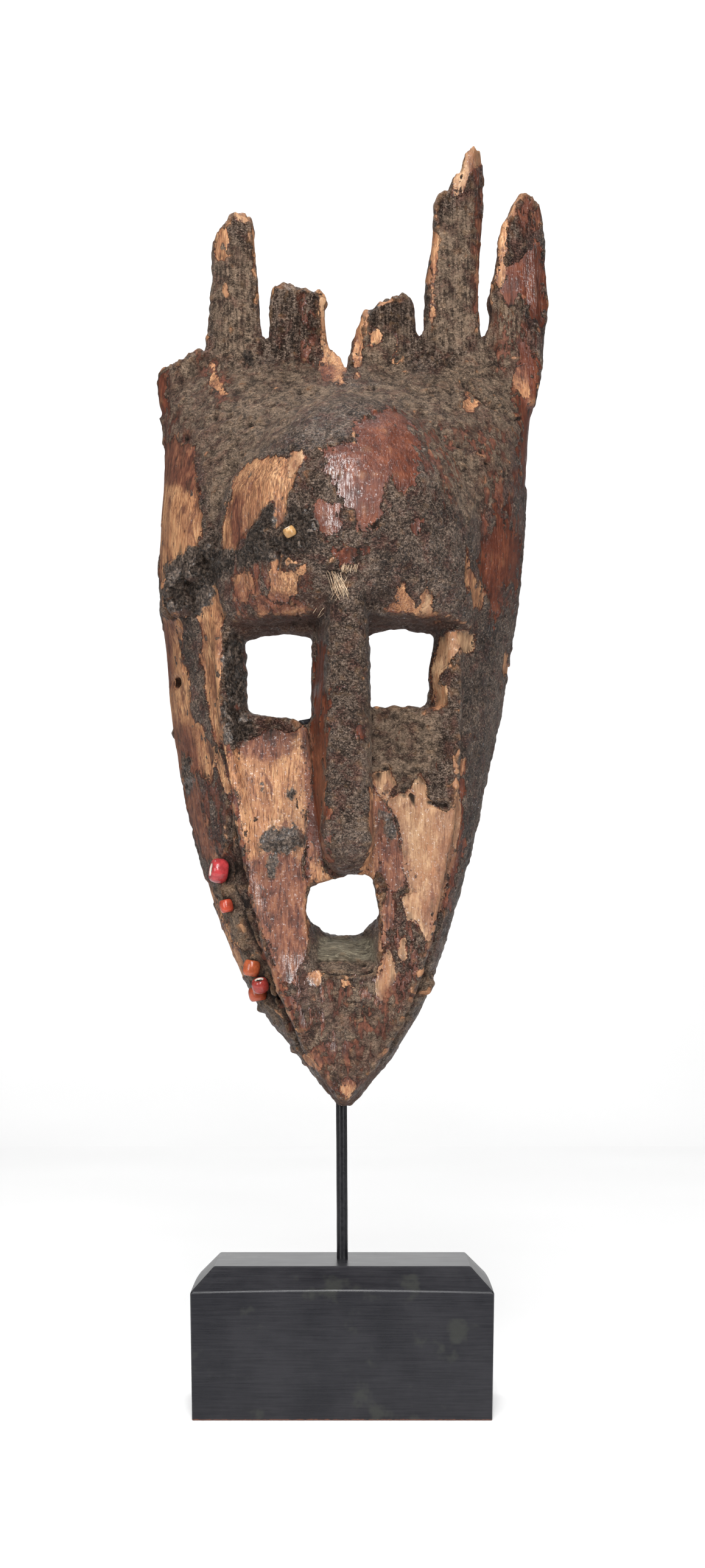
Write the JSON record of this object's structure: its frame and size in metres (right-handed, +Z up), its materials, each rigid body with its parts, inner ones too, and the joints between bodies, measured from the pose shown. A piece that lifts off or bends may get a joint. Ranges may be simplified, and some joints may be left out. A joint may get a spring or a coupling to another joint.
{
  "type": "carved wooden face mask on a rod and block stand",
  "caption": "Tall pointed carved wood face mask with broken horns, eye and mouth holes and hollow back, held upright by a bent rod on a chamfered block.",
  "frame": {"origin": "centre of the block's flat underside, on the surface that the block stands on", "axes": "+Z up through the rod and the mask, -Y the way the face looks, +X to the right of someone facing the mask"},
  "size_m": [0.2134, 0.152, 0.6823],
  "materials": {
    "crusted_wood": "carved wood under a worn dark crust, with bare tan and red-brown patches",
    "black_steel": "blackened steel rod, satin, lightly chipped",
    "black_painted_wood": "black paint on wood with fine grain, satin, worn at the lower edge",
    "red_glass_beads": "opaque red and orange glass paste, glossy",
    "pale_seed": "pale cream seed bead, satin"
  },
  "bodies": {
    "root": {"mask": "crusted_wood", "mount_rod": "black_steel", "stand_block": "black_painted_wood", "bead_red_1": "red_glass_beads", "bead_red_2": "red_glass_beads", "bead_red_3": "red_glass_beads", "bead_red_4": "red_glass_beads", "bead_red_5": "red_glass_beads", "bead_pale": "pale_seed"}
  },
  "joints": []
}
